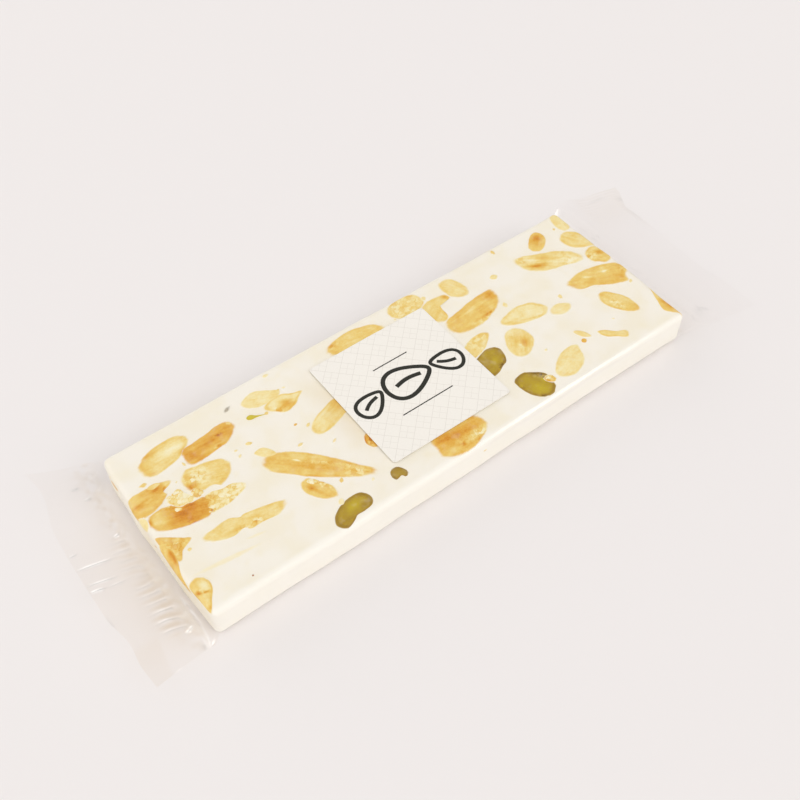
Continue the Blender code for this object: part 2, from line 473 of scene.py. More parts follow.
def make_slab(material):
    """A gridded box with rounded edges, then given the cut bar's unevenness."""
    half_height = (SLAB_TOP - SLAB_BOTTOM) / 2
    points, faces = box_grid(*(grid_lines(h) for h in (HALF_LENGTH, HALF_WIDTH, half_height)))
    inner = np.array([HALF_LENGTH, HALF_WIDTH, half_height]) - SLAB_EDGE
    core = np.clip(points, -inner, inner)
    outward = points - core
    length = np.linalg.norm(outward, axis=1, keepdims=True)
    rounded = core + outward / np.maximum(length, 1e-9) * SLAB_EDGE
    rounded[:, 2] += SLAB_BOTTOM + half_height
    return make_piece("nougat_slab", settle(rounded), faces, material, "nougat")


# ---- The nuts ----

MOST_RINGS = 15                # rings in the cap of a long nut
SHOWN_SHARE = 0.87             # part of a cap's radius that rises over the nougat
BURIED_RINGS = (0.45, 0.8)     # how far the hidden rings under a nut draw in to its root


def kernel_outline(length, width, tips, egg, bend, lumps, seed, count):
    """An almond's outline. tips narrow (or blunt, below 0) its -u and +u ends, egg moves
    its width towards +u, bend bows it sideways and lumps makes it uneven."""
    turn = np.arange(count) * 2 * pi / count
    along, across = np.cos(turn), np.sin(turn)
    tip = np.where(along < 0, tips[0], tips[1])
    phases = np.random.default_rng(seed).uniform(0, 2 * pi, 5)
    uneven = 1 + lumps * sum(np.sin((k + 2) * turn + phases[k]) / (k + 1) ** 0.6 for k in range(5))
    u = length / 2 * along * uneven
    v = width / 2 * across * (1 - tip * np.abs(along) ** 1.5) * (1 + egg * along) * uneven
    return u, v + bend * width / 2 * (along ** 2 - 0.4)


def drawn_outline(corners, count):
    """A smooth closed outline through a few corners, in their own unit."""
    at = np.arange(count) / count * len(corners)
    start = np.floor(at).astype(int)
    t = (at - start)[:, None]
    corners = np.array(corners, float)
    a, b, c, d = (corners[(start + k) % len(corners)] for k in (-1, 0, 1, 2))
    path = b + t * (c - a) / 2 + t ** 2 * (a - 2.5 * b + 2 * c - d / 2)
    path += t ** 3 * (1.5 * b - a / 2 - 1.5 * c + d / 2)
    return path.T


def spots_over(spots, u, v):
    """Sum of soft oval spots (u, v, half length, half width, amount) in kernel shares."""
    total = np.zeros_like(u)
    for spot_u, spot_v, reach_u, reach_v, amount in spots:
        away = ((u - spot_u) / reach_u) ** 2 + ((v - spot_v) / reach_v) ** 2
        total += amount * np.exp(-1.2 * away)
    return total


def add_nut(joined, seed, x, y, length=12.0, width=6.0, angle=0.0, tone=0.4, tips=(0.1, 0.3),
            egg=0.0, bend=0.0, lumps=0.025, spots=(), crumbs=(), crumb=0.0, rim=0.06, heart=0.0,
            veil=0.12, fade=0.0, rise=0.12, shape=None, under=False):
    """Adds one nut to a joined mesh: a cap just proud of the bar and a root inside it.

    x, y and angle (degrees from +X) place it on the bar's top face, or under it. tone is
    its colour from pale to roasted, to which spots, rim and heart add. crumb and crumbs
    say how crumbly it is, veil how much of it the nougat's edge covers, and fade how much
    nougat lies thinly over all of it.
    """
    count = int(np.clip(length * 5, 20, 110))
    rings = int(np.clip(length * 2, 6, MOST_RINGS))
    if shape is None:
        edge_u, edge_v = kernel_outline(length, width, tips, egg, bend, lumps, seed, count)
    else:
        edge_u, edge_v = drawn_outline(shape, count) * [[length / 2], [width / 2]]
    shown = SHOWN_SHARE - 0.8 * veil
    edge_u, edge_v = edge_u / shown, edge_v / shown
    ragged = 1 + 0.6 * lumps * wander(edge_u + 9 * seed, edge_v, 1.2, seed + 3)
    middle_u, middle_v = np.mean(edge_u), np.mean(edge_v)
    rho = np.sin(np.linspace(0, 1, rings + 1)[1:] * pi / 2)[:, None]
    u = middle_u + np.concatenate([[0.0], (rho * ragged * (edge_u - middle_u)).ravel()])
    v = middle_v + np.concatenate([[0.0], (rho * ragged * (edge_v - middle_v)).ravel()])
    out = np.concatenate([[0.0], (rho * np.ones(count)).ravel()])
    part_u, part_v = u / (length / 2), v / (width / 2)
    crumbling = np.clip(crumb + spots_over(crumbs, part_u, part_v), 0, 1)
    broken = wander(u + 7 * seed, v, 0.9, seed) + 0.6 * wander(u, v + 5 * seed, 0.45, seed + 1)
    soft = wander(u + 3 * seed, v, 2.6, seed + 2)
    nut_tone = (tone + spots_over(spots, part_u, part_v) + 0.07 * soft
                + rim * hill(shown - 0.08, 0.14, out) - heart * (1 - smooth_step(0.1, 0.75, out))
                + 0.2 * crumbling * broken)
    cover = smooth_step(SHOWN_SHARE - 1.6 * veil, SHOWN_SHARE, out + 0.02 * broken + 0.025 * soft)
    cover = 1 - (1 - cover) * (1 - fade)
    lift = rise * (1 - out ** 5) - 0.13 * out ** 5 + crumbling * 0.1 * broken * (1 - out ** 4)
    lift += 0.03 * soft * (1 - out ** 2)
    turned = radians(angle)
    top_x = x + u * np.cos(turned) - v * np.sin(turned)
    top_y = y + u * np.sin(turned) + v * np.cos(turned)
    cap = on_bar(top_x, top_y, lift, under)
    root = on_bar(np.array([x]), np.array([y]), 0.0, under)[0]
    root[2] += (1 if under else -1) * min(0.4 * width, 3.0)
    edge = cap[-count:]
    buried = [edge + (root - edge) * share for share in BURIED_RINGS] + [root[None]]
    points = np.concatenate([cap] + buried)
    faces = ring_faces(count, rings + len(BURIED_RINGS), under)
    hidden = len(points) - len(cap)
    joined.add(points, faces,
               tone=np.concatenate([nut_tone, np.full(hidden, tone)]),
               veil=np.concatenate([cover, np.ones(hidden)]),
               crumb=np.concatenate([crumbling, np.zeros(hidden)]),
               grain=np.stack([np.append(u, np.zeros(hidden)) + 11.0 * seed,
                               np.append(v, np.zeros(hidden)) + 5.0 * seed,
                               np.zeros(len(points))], axis=-1))


def ring_faces(count, rings, flipped):
    """Faces of a closed form: a first point, rings of count points, and a last point."""
    faces = []
    for i in range(count):
        after = (i + 1) % count
        faces.append([0, 1 + i, 1 + after])
        for ring in range(rings - 1):
            near, far = 1 + ring * count, 1 + (ring + 1) * count
            faces.append([near + i, far + i, far + after, near + after])
        last = 1 + (rings - 1) * count
        faces.append([last + i, 1 + rings * count, last + after])
    return [face[::-1] for face in faces] if flipped else faces


# The top face is laid out in a grid of its own: cells along the bar and across it, counted
# from the middle.
CELLS_ALONG = 60
CELLS_ACROSS = 26
GRID_CELL = np.array([BAR_LENGTH / CELLS_ALONG, BAR_WIDTH / CELLS_ACROSS])

# Each nut's two ends in cells, its width in millimetres, and its outline, spots and crumbs
# in shares of its half length and half width. Tones run from pale, 0, to roasted, 1.
ALMONDS = [
    dict(ends=((-27.5, 8.5), (-22, 9)), width=7.6,
         shape=[(-1, -0.45), (-0.95, 0.3), (-0.5, 0.85), (0.1, 1), (0.7, 0.85), (1, 0.3),
                (0.8, -0.3), (0.3, -0.8), (-0.3, -1), (-0.8, -0.95)],
         tone=0.32, rim=0.1, spots=[(-0.35, 0.6, 0.4, 0.3, 0.2), (0.6, -0.55, 0.2, 0.3, 0.3),
                (0.25, 0.1, 0.5, 0.4, -0.28), (-0.8, -0.1, 0.25, 0.6, 0.05)]),
    dict(ends=((-23.5, 7), (-17.5, 7)), width=7,
         shape=[(-1, -0.2), (-0.9, 0.6), (-0.45, 0.7), (0, 0.8), (0.5, 1), (0.9, 0.85), (1, 0.3),
                (0.75, -0.35), (0.35, -0.75), (-0.1, -0.85), (-0.6, -1), (-0.92, -0.8)],
         tone=0.62, lumps=0.025, rim=0.02,
         spots=[(-0.15, 0.05, 0.35, 0.09, 0.14), (0.35, 0.2, 0.3, 0.1, 0.14), (0.75, 0.5, 0.2, 0.2, 0.1),
                (-0.7, -0.3, 0.25, 0.4, 0.12), (-0.6, 0.4, 0.3, 0.25, -0.14),
                (0.1, -0.5, 0.5, 0.2, -0.12)],
         crumbs=[(0.35, 0.25, 0.15, 0.15, 0.7), (0.1, -0.6, 0.2, 0.1, 0.6)]),
    dict(ends=((-25, 4), (-20.5, 2)), width=8,
         shape=[(-1, 0), (-0.8, 0.7), (-0.3, 0.85), (0.2, 1), (0.7, 0.95), (1, 0.4), (0.9, -0.3),
                (0.5, -0.95), (0.15, -0.75), (-0.3, -1), (-0.8, -0.8)],
         tone=0.32, lumps=0.03, rim=0.08,
         spots=[(-0.7, -0.6, 0.25, 0.25, 0.35), (-0.35, 0.3, 0.2, 0.22, 0.2),
                (-0.35, 0.3, 0.45, 0.5, -0.1), (0.15, -0.2, 0.12, 0.4, 0.12)],
         crumbs=[(-0.45, 0.1, 0.5, 0.65, 0.9)]),
    dict(ends=((-27, 2.5), (-25, 1)), width=4,
         tone=0.14, rim=0.05, lumps=0.08, crumb=0.8, rise=0.2),
    dict(ends=((-26.5, 3), (-25.5, 2.5)), width=2.2,
         tone=0.2, rim=0.05, lumps=0.1, crumb=0.8, rise=0.18),
    dict(ends=((-25, 2), (-24, 1)), width=2.4,
         tone=0.3, rim=0.1, lumps=0.1, crumb=0.8, rise=0.2),
    dict(ends=((-28, 5.5), (-26.5, 5)), width=2, tone=0.28, rim=0.1, veil=0.2),
    dict(ends=((-30, 2.5), (-30, 0.5)), width=2.5, tone=0.14, rim=0.05, veil=0.2),
    dict(ends=((-31, 10.5), (-31, 8.5)), width=1.5, tone=0.6, veil=0.2),
    dict(ends=((-30, 4), (-26, 4)), width=6.5,
         shape=[(-1.1, 0.6), (-0.7, 0.95), (-0.1, 1), (0.5, 0.9), (0.95, 0.7), (1, 0.35), (0.6, 0),
                (0.6, -0.4), (0.2, -0.9), (-0.4, -1.2), (-1.1, -1)],
         tone=0.48, rim=0.0,
         spots=[(-0.7, -0.1, 0.3, 0.16, 0.42), (-0.35, 0.1, 0.3, 0.12, 0.25),
                (0.35, 0.5, 0.25, 0.2, 0.28), (0.1, -0.5, 0.5, 0.3, -0.04),
                (-0.7, 0.6, 0.3, 0.3, -0.12), (0.85, 0.5, 0.15, 0.3, -0.25)],
         crumbs=[(0.7, 0.0, 0.2, 0.5, 0.9)]),
    dict(ends=((-29.5, 1), (-24, -1.5)), width=6.6,
         shape=[(-1, 0), (-0.9, 0.6), (-0.55, 0.95), (-0.1, 1), (0.3, 0.8), (0.7, 1), (1, 0.5),
                (0.92, -0.4), (0.4, -0.9), (-0.2, -1), (-0.75, -0.75)],
         tone=0.7, rim=-0.06,
         spots=[(-0.7, 0.05, 0.3, 0.75, -0.42), (-0.97, -0.1, 0.06, 0.6, 0.3),
                (0.1, 0.1, 0.5, 0.5, 0.12), (-0.15, 0.75, 0.16, 0.1, 0.1),
                (0.2, 0.62, 0.25, 0.1, 0.12), (0.1, -0.75, 0.08, 0.12, 0.2),
                (0.3, -0.8, 0.05, 0.15, 0.2)],
         crumbs=[(0.1, 0.95, 0.5, 0.2, 1.0), (0.95, -0.1, 0.1, 0.4, 0.9), (0.2, -0.8, 0.2, 0.15, 0.6)]),
    dict(ends=((-27, 1), (-26.5, 0.5)), width=1.4, tone=0.34, lumps=0.1, crumb=0.8, rise=0.22),
    dict(ends=((-24.5, -0.5), (-20.5, -1.5)), width=5.6,
         shape=[(-1, -1), (-1, 0.5), (-0.6, 0.9), (0, 0.85), (0.5, 1), (1, 0.6), (0.95, 0.1),
                (0.5, -0.4), (0, -0.8), (-0.5, -1)],
         tone=0.24, lumps=0.05, rim=0.06,
         spots=[(-0.8, 0.4, 0.3, 0.5, 0.35), (0.1, -0.2, 0.5, 0.1, 0.3), (0.55, 0.3, 0.2, 0.1, 0.25)],
         crumb=0.55),
    dict(ends=((-26.5, -4.5), (-18.5, -6.5)), width=5,
         shape=[(-1, 0), (-0.75, 0.55), (-0.35, 1), (-0.1, 0.75), (0.05, 0.9), (0.5, 0.9),
                (0.9, 0.8), (1, 0.2), (0.75, -0.5), (0.3, -0.7), (0.05, -0.9), (-0.1, -0.55),
                (-0.4, -1), (-0.8, -0.7)],
         tone=0.3, lumps=0.035, spots=[(-0.15, -0.5, 0.2, 0.4, 0.2), (0.35, 0.1, 0.5, 0.5, 0.06)],
         crumbs=[(0.25, -0.4, 0.14, 0.5, 1.0), (-0.1, -0.6, 0.2, 0.4, 0.7)]),
    dict(ends=((-30, -1), (-29.5, -5.5)), width=11,
         shape=[(-1, 0), (-0.6, 0.35), (-0.1, 0.7), (0.28, 1), (0.45, 0.7), (0.6, 0.4), (1, 0.12),
                (0.8, -0.06), (0, -0.1), (-0.8, -0.08)],
         tone=0.42, rim=0.05, spots=[(0.1, 0.4, 0.4, 0.3, 0.1), (-0.7, 0.1, 0.3, 0.3, 0.08)],
         crumbs=[(0.2, 0.45, 0.6, 0.5, 0.7)]),
    dict(ends=((-28, -4.5), (-28, -5)), width=0.9, tone=0.3, lumps=0.1, rise=0.08),
    dict(ends=((-29.5, -2), (-30.5, -9)), width=4.4,
         shape=[(-1, 0), (-0.6, 0.6), (-0.2, 0.75), (0.3, 0.5), (1, 0.2), (0.9, -0.4), (0.3, -0.7),
                (-0.3, -1), (-0.8, -0.7)],
         tone=0.46, rim=0.0, rise=0.16,
         spots=[(-0.5, 0.3, 0.2, 0.2, 0.3), (-0.2, 0.45, 0.25, 0.16, 0.34),
                (-0.6, -0.3, 0.4, 0.3, -0.1), (0.7, 0.0, 0.4, 1.0, -0.04)], veil=0.08),
    dict(ends=((-29, -8.5), (-30, -12.5)), width=4.8,
         shape=[(-1, -0.2), (-0.95, 0.5), (-0.6, 1), (-0.2, 0.95), (0.3, 0.6), (0.8, 0.3), (1, 0),
                (0.7, -0.25), (0.2, -0.55), (-0.3, -0.9), (-0.7, -0.95)],
         tone=0.3, rim=0.12,
         spots=[(-0.2, -0.35, 0.1, 0.25, 0.6), (-0.15, 0.3, 0.06, 0.6, 0.5),
                (-0.6, -0.45, 0.3, 0.4, 0.15), (-0.5, 0.4, 0.25, 0.35, -0.2), (0.7, 0.2, 0.12, 0.2, 0.3)],
         crumbs=[(-0.2, -0.2, 0.25, 0.4, 0.4)]),
    dict(ends=((-17.5, 0.5), (-9.5, -8.5)), width=7,
         shape=[(-1, 0), (-0.9, 0.7), (-0.6, 1), (-0.15, 1), (0.3, 0.75), (0.7, 0.4), (1, 0.15),
                (0.98, -0.35), (0.6, -0.75), (0.1, -0.9), (-0.35, -0.9), (-0.75, -0.75),
                (-0.95, -0.4)],
         tone=0.42, rim=0.06, lumps=0.012,
         spots=[(-0.1, -0.1, 0.45, 0.35, 0.15), (-0.65, 0.1, 0.25, 0.4, 0.08),
                (-0.4, 0.3, 0.04, 0.12, -0.6), (0.75, 0.0, 0.3, 0.8, -0.06), (-0.05, -0.9, 0.2, 0.15, 0.25)],
         crumbs=[(0.75, 0.0, 0.35, 0.8, 0.6), (0.1, 0.3, 0.3, 0.15, 0.6)]),
    dict(ends=((-16, -5), (-14, -9)), width=5,
         shape=[(-1, 0.2), (-0.8, 0.8), (-0.4, 0.8), (0, 0.95), (0.6, 0.8), (1, 0.1), (0.7, -0.5),
                (0.1, -0.9), (-0.5, -0.8), (-0.9, -0.4)],
         tone=0.36, rim=0.04, veil=0.14,
         spots=[(-0.5, 0.0, 0.35, 0.4, 0.25), (-0.45, -0.2, 0.1, 0.2, 0.25), (0.2, -0.2, 0.5, 0.3, 0.14)],
         crumbs=[(0.0, 0.8, 0.5, 0.4, 0.8)]),
    dict(ends=((-15.5, -5), (-14.5, -6)), width=1.6, tone=0.12, lumps=0.1, crumb=0.9, rise=0.16),
    dict(ends=((-15.5, 10), (-11.5, 8.5)), width=5,
         shape=[(-1, -0.3), (-0.7, 0.6), (-0.2, 1), (0.5, 0.7), (1, 0.3), (0.8, -0.5), (0.2, -0.9),
                (-0.5, -1)],
         tone=0.24, rim=0.0),
    dict(ends=((-14, 7.5), (-10, 6)), width=6,
         shape=[(-1, -0.1), (-0.6, 0.7), (0, 1), (0.5, 0.8), (1.05, 0.75), (0.75, 0.1), (0.5, -0.5),
                (0, -1), (-0.5, -0.7)],
         tone=0.18, rim=0.2, spots=[(0.2, -0.15, 0.45, 0.55, 0.42)],
         crumbs=[(-0.3, -0.5, 0.4, 0.4, 0.7)]),
    dict(ends=((-11.5, 0.5), (-7, 2.5)), width=5.5,
         shape=[(-1, -0.2), (-0.9, 0.5), (-0.4, 0.95), (0.3, 1), (1, 0.8), (1, -0.8), (0.4, -1),
                (-0.3, -0.95), (-0.8, -0.7)],
         tone=0.22, rim=0.08,
         spots=[(0.75, 0.0, 0.4, 0.9, 0.3), (-0.3, -0.75, 0.6, 0.2, 0.12)]),
    dict(ends=((-7.5, -3.5), (-7.5, -6)), width=3.5,
         tone=0.62,
         crumbs=[(0.0, -0.4, 0.8, 0.6, 0.8)]),
    dict(ends=((-17.5, 2.5), (-16, 0.5)), width=3.2,
         shape=[(-1, -0.5), (-0.8, 0.4), (-0.4, 0.9), (0.3, 0.8), (1, 0.2), (0.6, -0.5), (-0.2, -0.8)],
         tone=0.22, rim=0.0),
    dict(ends=((-29, -8), (-22.5, -9)), width=1.3, tone=0.14, rim=0.0, veil=0.4, fade=0.5, rise=0.03),
    dict(ends=((-23.5, -7.5), (-21.5, -8)), width=0.8, tone=0.14, rim=0.0, veil=0.4, fade=0.55, rise=0.03),
    dict(ends=((11.5, 11.5), (13, 7.5)), width=6,
         shape=[(-1, 0.1), (-0.7, 0.9), (0, 1), (0.6, 0.75), (1, 0.1), (0.7, -0.6), (0.1, -1),
                (-0.5, -0.8), (-0.95, -0.4)],
         tone=0.29, rim=0.03, veil=0.2),
    dict(ends=((7.5, 6.5), (11, 9)), width=9,
         shape=[(-1, -0.2), (-0.9, 0.5), (-0.6, 1), (0, 1), (0.5, 0.7), (1, 0.2), (0.9, -0.2),
                (0.3, 0.1), (0, -0.1), (-0.3, -0.6), (-0.7, -0.7)],
         tone=0.34, lumps=0.03, veil=0.16,
         spots=[(0.85, 0.1, 0.15, 0.3, 0.35), (-0.2, -0.6, 0.4, 0.3, 0.2)]),
    dict(ends=((8, 4), (15.5, 4.5)), width=8.5,
         shape=[(-1, -0.1), (-0.85, 0.6), (-0.3, 0.8), (0.2, 0.95), (0.65, 1), (0.98, 0.9),
                (1, 0.3), (0.8, -0.3), (0.35, -0.8), (-0.1, -1), (-0.6, -0.9), (-0.9, -0.6)],
         tone=0.45, lumps=0.012, rim=0.05,
         spots=[(0.75, 0.6, 0.25, 0.35, 0.2), (0.0, 0.35, 0.5, 0.12, -0.14),
                (0.25, -0.6, 0.5, 0.06, 0.2), (0.25, -0.85, 0.5, 0.14, -0.2)],
         crumbs=[(0.2, -0.75, 0.6, 0.2, 0.5)]),
    dict(ends=((13, 1), (18.5, -1)), width=7,
         shape=[(-1, -0.2), (-0.6, 0.5), (-0.1, 0.95), (0.5, 1), (0.9, 0.5), (1, 0), (0.75, -0.6),
                (0.1, -0.8), (-0.6, -0.75)],
         tone=0.2, rim=0.1, lumps=0.02,
         spots=[(-0.55, -0.4, 0.3, 0.3, 0.1), (0.2, 0.1, 0.45, 0.4, -0.06), (0.3, -0.55, 0.4, 0.08, 0.15)],
         crumbs=[(0.5, -0.5, 0.4, 0.3, 0.4)]),
    dict(ends=((18.5, -2), (21, -2.5)), width=4,
         tone=0.22, rim=0.0, veil=0.25),
    dict(ends=((6.5, -1.5), (11, 0.5)), width=4.8,
         tone=0.28, tips=(-0.2, 0.2), rim=0.03, crumb=0.25),
    dict(ends=((11.5, -5.5), (14, -1.5)), width=8,
         shape=[(-1, -0.1), (-0.8, 0.5), (-0.1, 0.9), (0.6, 0.9), (1, 0.3), (0.85, -0.5), (0.3, -1),
                (-0.3, -0.9), (-0.8, -0.6)],
         tone=0.26, rim=0.0,
         spots=[(0.05, -0.4, 0.35, 0.35, 0.34), (-0.1, 0.2, 0.6, 0.5, 0.08), (-0.15, -0.1, 0.1, 0.1, -0.25)],
         crumbs=[(-0.4, -0.2, 0.3, 0.3, 0.4)]),
    dict(ends=((13, -10.5), (17.5, -9.5)), width=6.5,
         shape=[(-1, 0), (-0.6, 0.6), (0.1, 1), (0.7, 0.95), (1, 0.6), (0.85, 0), (0.5, -0.7),
                (-0.2, -1), (-0.8, -0.7)],
         tone=0.22, rim=0.06),
    dict(ends=((18.5, -6.5), (19.5, -8.5)), width=2,
         tone=0.24, rim=0.0, veil=0.2),
    dict(ends=((-3, -10.5), (3, -11)), width=7.5,
         shape=[(-1, -0.2), (-0.9, 0.8), (0, 1), (0.7, 1), (1, 0.3), (0.8, -0.4), (0.2, -0.9),
                (-0.5, -1), (-0.9, -0.7)],
         tone=0.54, lumps=0.015, rim=0.0,
         spots=[(0.15, 0.3, 0.7, 0.26, 0.24), (-0.5, 0.4, 0.4, 0.3, 0.14), (-0.15, -0.45, 0.1, 0.14, 0.3),
                (0.5, -0.3, 0.4, 0.3, -0.26), (-0.6, -0.6, 0.3, 0.3, -0.12)],
         crumbs=[(0.45, -0.3, 0.6, 0.45, 0.8)]),
    dict(ends=((29.5, 13), (29, 9)), width=4.6,
         tone=0.26, tips=(0.0, 0.0), rim=0.0, veil=0.18),
    dict(ends=((23.5, 8.5), (26, 11)), width=4.8,
         shape=[(-1, 0), (-0.7, 0.8), (0.3, 1), (0.9, 0.7), (1, -0.1), (0.6, -0.85), (-0.2, -1),
                (-0.8, -0.7)],
         tone=0.46, rim=0.0, spots=[(0.4, 0.1, 0.4, 0.6, 0.4), (-0.6, 0.0, 0.3, 0.8, -0.1)]),
    dict(ends=((27.5, 8.5), (30, 4.5)), width=6.4,
         shape=[(-1, 0), (-0.75, 0.8), (-0.1, 1), (0.6, 0.8), (1, 0.3), (0.9, -0.3), (0.3, -0.9),
                (-0.3, -1), (-0.85, -0.6)],
         tone=0.3, rim=0.06, veil=0.16),
    dict(ends=((27.5, 3), (30.5, 2)), width=7,
         tone=0.34, lumps=0.05, veil=0.16,
         spots=[(0.1, 0.2, 0.35, 0.35, 0.28)], crumbs=[(-0.6, 0.0, 0.5, 0.8, 0.6)]),
    dict(ends=((20.5, 8.5), (27, 3)), width=8,
         shape=[(-1, 0), (-0.8, 0.5), (-0.3, 0.75), (0.2, 1), (0.7, 0.9), (1, 0.3), (0.85, -0.2),
                (0.4, -0.5), (0.1, -0.8), (-0.3, -1), (-0.7, -0.8)],
         tone=0.26, rim=0.03,
         spots=[(-0.1, 0.3, 0.45, 0.2, 0.22), (-0.4, -0.5, 0.25, 0.2, 0.5), (-0.15, -0.25, 0.2, 0.2, 0.2),
                (-0.6, 0.15, 0.3, 0.15, -0.15), (0.65, 0.0, 0.35, 1.0, -0.06)],
         crumbs=[(0.6, 0.0, 0.45, 1.0, 0.5), (-0.85, 0.0, 0.2, 0.6, 0.5)]),
    dict(ends=((23, 1), (29.5, -2.5)), width=8.5,
         shape=[(-1, -0.3), (-0.8, 0.3), (-0.3, 0.8), (0.3, 1), (0.8, 0.9), (1, 0.3), (0.85, -0.3),
                (0.8, -0.8), (0.3, -0.9), (-0.2, -0.7), (-0.7, -0.8)],
         tone=0.41, rim=0.06, lumps=0.012,
         spots=[(0.75, -0.3, 0.15, 0.25, 0.25), (-0.3, 0.1, 0.1, 0.12, -0.4), (0.3, 0.35, 0.07, 0.1, -0.6),
                (0.5, -0.1, 0.3, 0.4, -0.06), (0.0, -0.3, 0.4, 0.3, 0.08)],
         crumbs=[(0.9, 0.3, 0.12, 0.3, 0.6)]),
    dict(ends=((24.5, -3.5), (26.5, -9)), width=5.8,
         shape=[(-1, 0), (-0.8, 0.7), (-0.2, 1), (0.4, 0.9), (1, 0.2), (0.7, -0.5), (0.1, -0.9),
                (-0.6, -0.8)],
         tone=0.34, rim=0.08, crumbs=[(-0.1, -0.2, 0.35, 0.4, 0.7)],
         spots=[(-0.1, -0.2, 0.3, 0.35, -0.16), (0.6, 0.2, 0.3, 0.4, 0.08)]),
    dict(ends=((30.5, -5), (30.5, -13)), width=8.6,
         shape=[(-1, 0), (-0.5, 0.3), (0.5, 0.3), (1, 0.15), (1, -0.15), (0.75, -0.5), (0.4, -1),
                (0, -0.75), (-0.5, -0.4)],
         tone=0.42, rim=0.0, spots=[(0.3, -0.45, 0.3, 0.3, 0.25)], veil=0.08),
    dict(ends=((20.5, -8.5), (23, -11)), width=3,
         shape=[(-1, 0.2), (-0.5, 0.6), (0.2, 0.5), (0.8, 0.9), (1, 0.3), (0.9, -0.6), (0.2, -0.7),
                (-0.4, -0.9), (-0.8, -0.5)],
         tone=0.28, rim=0.14),
    dict(ends=((-4.5, 10.5), (2.5, 9.5)), width=7.5,
         tone=0.38, tips=(0.1, 0.2),
         crumbs=[(-0.7, 0.4, 0.3, 0.4, 0.5)]),
    dict(ends=((4, 11), (8.5, 11)), width=7.2,
         tone=0.3, tips=(0.0, 0.0), crumb=0.3, lumps=0.02,
         spots=[(0.1, 0.0, 0.45, 0.35, 0.18)], rim=0.04),
]

PISTACHIOS = [
    dict(ends=((-16, -11.5), (-11.5, -11)), width=5.6,
         shape=[(-1, -0.3), (-0.85, 0.4), (-0.3, 0.9), (0.3, 1), (0.8, 0.8), (1, 0.1), (0.85, -0.5),
                (0.35, -0.6), (0, -0.5), (-0.3, -0.75), (-0.7, -0.9)],
         tone=0.48, rim=0.2, spots=[(0.2, 0.3, 0.45, 0.35, -0.22), (-0.5, -0.3, 0.3, 0.3, 0.1),
                (0.55, -0.2, 0.3, 0.25, 0.12)],
         crumbs=[(0.1, -1.0, 0.25, 0.25, 1.0)], veil=0.03),
    dict(ends=((-8.5, -10), (-7, -11)), width=3.5,
         shape=[(-1, -0.1), (-0.7, 0.7), (0, 1), (0.7, 0.7), (1, 0), (0.6, -0.5), (0.2, -0.3),
                (-0.2, -0.7), (-0.6, -0.9)],
         tone=0.6, rim=0.15, lumps=0.06, veil=0.04),
    dict(ends=((-16, 7.5), (-14, 6.5)), width=1.8,
         shape=[(-1, 0), (-0.8, 0.8), (-0.5, 0.9), (-0.1, 0.4), (0.4, 0.15), (1, 0.05), (0.4, -0.15),
                (-0.1, -0.4), (-0.5, -0.8), (-0.85, -0.7)],
         tone=0.05, rim=0.1, veil=0.04, rise=0.2),
    dict(ends=((-17.5, 10), (-16.5, 10.5)), width=1.2, tone=1.0, rim=0.0, veil=0.4,
         fade=0.5, rise=0.05),
    dict(ends=((7, -4.5), (10.5, -3)), width=7,
         shape=[(-1, -0.9), (-1, 0.9), (-0.3, 1), (0.5, 0.95), (1, 0.4), (0.95, -0.2), (0.5, -0.9),
                (0, -1)],
         tone=0.5, rim=0.2,
         spots=[(0.1, -0.2, 0.45, 0.3, -0.25)], crumbs=[(0.3, -0.9, 0.7, 0.3, 0.8)], veil=0.03),
    dict(ends=((9, -8), (11.5, -12)), width=8.2,
         shape=[(-1, -0.1), (-0.7, 0.6), (-0.1, 0.9), (0.4, 1), (0.7, 0.7), (1, 0.2), (0.9, -0.5),
                (0.3, -0.9), (-0.3, -0.85), (-0.8, -0.5)],
         tone=0.42, lumps=0.05, rim=0.3,
         spots=[(0.3, -0.2, 0.4, 0.4, -0.24), (-0.2, 0.4, 0.3, 0.3, 0.06), (0.2, 0.75, 0.3, 0.15, 0.3)],
         crumbs=[(0.3, 0.7, 0.35, 0.3, 1.0), (0.6, -0.8, 0.4, 0.2, 0.9), (-0.6, -0.5, 0.3, 0.2, 0.6)],
         veil=0.03),
]

SPECKS = [
    dict(at=(18.5, -8.5), length=1.6, width=1.4, tone=0.6, fade=0.15),
    dict(at=(17, 8), length=2.2, width=2.0, tone=0.2, veil=0.25),
    dict(at=(-25, -11.5), length=0.5, width=0.4, tone=1.0, fade=0.3),
    dict(at=(12, -10.5), length=3.4, width=2.4, angle=-50, tone=0.42, crumb=0.7, rise=0.24, veil=0.02,
         lumps=0.08),
    dict(at=(-12.5, 3), length=0.9, width=0.7, tone=0.6),
    dict(at=(-11.5, 2), length=1.5, width=0.9, angle=30, tone=0.3, veil=0.2, fade=0.2),
    dict(at=(-17.5, 4), length=1.8, width=1.1, angle=-20, tone=0.3, veil=0.2, fade=0.2, crumb=0.5),
    dict(at=(-19, 4), length=1.0, width=0.7, tone=0.25, veil=0.25, fade=0.35),
    dict(at=(-19, 3), length=1.3, width=0.8, angle=40, tone=0.25, veil=0.25, fade=0.4),
    dict(at=(-13.5, 0), length=1.8, width=0.9, angle=10, tone=0.25, veil=0.22, fade=0.3),
    dict(at=(-10.5, -2), length=1.5, width=0.8, angle=30, tone=0.28, veil=0.22, fade=0.4),
    dict(at=(-11.5, 9), length=0.9, width=0.7, tone=0.28, veil=0.2),
    dict(at=(-11.5, 12), length=1.7, width=1.1, tone=0.18, veil=0.28, fade=0.3),
]


